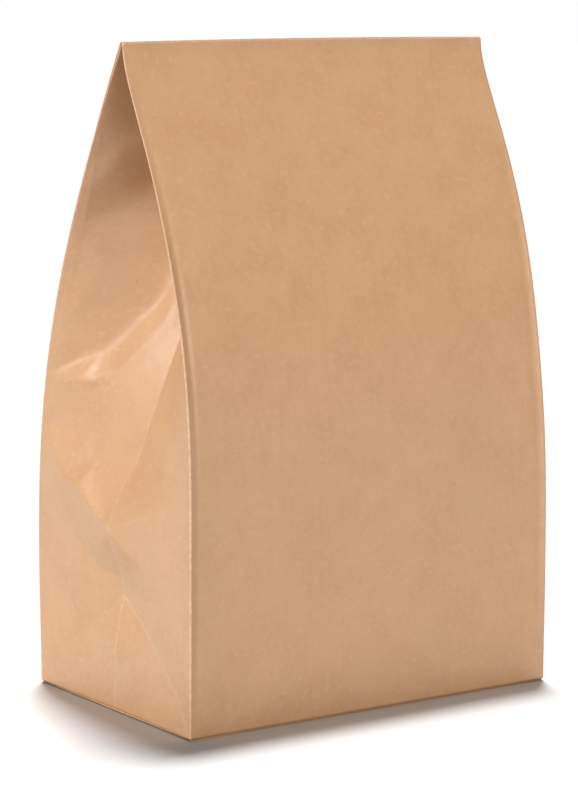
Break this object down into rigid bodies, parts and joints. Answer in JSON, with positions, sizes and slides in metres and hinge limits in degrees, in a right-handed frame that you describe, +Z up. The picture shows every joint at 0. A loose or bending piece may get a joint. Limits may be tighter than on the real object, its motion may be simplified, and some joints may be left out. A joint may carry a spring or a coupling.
{
  "type": "paper lunch bag",
  "caption": "Brown kraft paper lunch bag standing on its flat foot, with tucked gussets at the sides and its top folded over once to the back.",
  "frame": {"origin": "middle of the foot, on the surface that the bag stands on", "axes": "+Z up, X across the front panel, -Y out of the front panel, +Y towards the folded-over top at the back"},
  "size_m": [0.156, 0.102, 0.232],
  "materials": {
    "kraft_paper": "matte natural brown kraft paper"
  },
  "bodies": {
    "root": {"paper_bag": "kraft_paper"}
  },
  "joints": []
}
